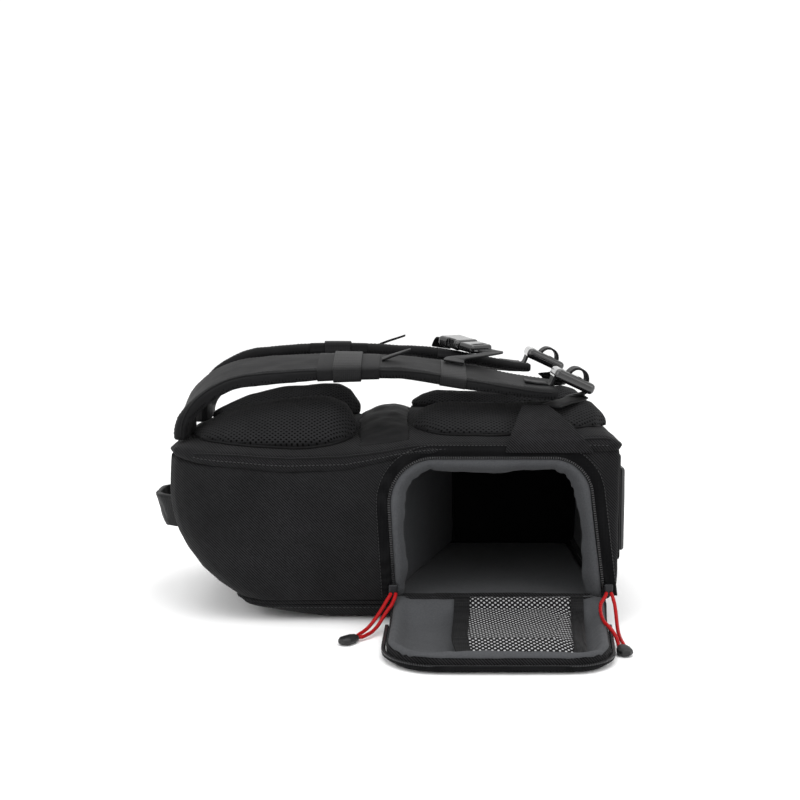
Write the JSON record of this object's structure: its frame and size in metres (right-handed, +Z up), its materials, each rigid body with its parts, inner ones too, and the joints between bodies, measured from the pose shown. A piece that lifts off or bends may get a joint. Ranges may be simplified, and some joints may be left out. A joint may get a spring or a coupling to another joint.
{
  "type": "camera backpack",
  "caption": "Padded camera backpack lying on its front, side door open on the surface, with shoulder straps, back pads, grab handle, net pocket and corded zipper pulls.",
  "frame": {"origin": "on the flat underside of the front pocket, below the middle of the bag's length and width; the bag lies on this face", "axes": "+X towards the bag's base, -Y towards the side with the door, +Z up from the surface, towards the back pads and the shoulder straps"},
  "size_m": [0.4085, 0.3831, 0.23],
  "materials": {
    "black_twill": "fine diagonal twill, matt",
    "black_webbing": "plain-woven webbing, slight sheen",
    "air_mesh": "three-layer knitted mesh, matt",
    "pocket_net": "open knitted net, matt",
    "grey_lining": "brushed lining, matt",
    "black_acetal": "moulded, satin",
    "black_metal": "coated die casting, satin",
    "black_rubber": "moulded, matt",
    "red_cord": "braided cord, slight sheen"
  },
  "bodies": {
    "root": {"side_panel_near": "black_twill", "side_panel_far": "black_twill", "head_panel": "black_twill", "base_panel": "black_twill", "front_panel": "black_twill", "front_pocket": "black_twill", "back_panel": "black_twill", "centre_sleeve": "black_twill", "strap_near": "black_twill", "strap_far": "black_twill", "keeper_loop_near": "black_twill", "keeper_loop_far": "black_twill", "strap_wing_near": "black_twill", "strap_wing_far": "black_twill", "base_plate": "black_twill", "door_panel": "black_twill", "keeper_panel_near": "black_webbing", "keeper_panel_far": "black_webbing", "sternum_band_near": "black_webbing", "sternum_band_far": "black_webbing", "pull_tab_near": "black_webbing", "pull_tab_far": "black_webbing", "webbing_tail_near": "black_webbing", "webbing_tail_far": "black_webbing", "lower_webbing_near": "black_webbing", "lower_webbing_far": "black_webbing", "sternum_webbing_near": "black_webbing", "sternum_webbing_far": "black_webbing", "grab_handle": "black_webbing", "opening_zipper": "black_webbing", "door_zipper": "black_webbing", "pocket_elastic": "black_webbing", "pocket_binding": "black_webbing", "back_pad_upper_near": "air_mesh", "back_pad_upper_far": "air_mesh", "back_pad_lower_near": "air_mesh", "back_pad_lower_far": "air_mesh", "mesh_pocket": "pocket_net", "opening_lip": "grey_lining", "divider": "grey_lining", "liner_floor": "grey_lining", "liner_base_wall": "grey_lining", "liner_far_wall": "grey_lining", "liner_ceiling": "grey_lining", "ladder_lock_near": "black_acetal", "ladder_lock_far": "black_acetal", "buckle_socket": "black_acetal", "buckle_plug": "black_acetal", "slider_head": "black_metal", "slider_base": "black_metal", "base_pad": "black_rubber", "pull_grip_head": "black_rubber", "pull_grip_base": "black_rubber", "pull_cord_head": "red_cord", "pull_cord_base": "red_cord"}
  },
  "joints": []
}
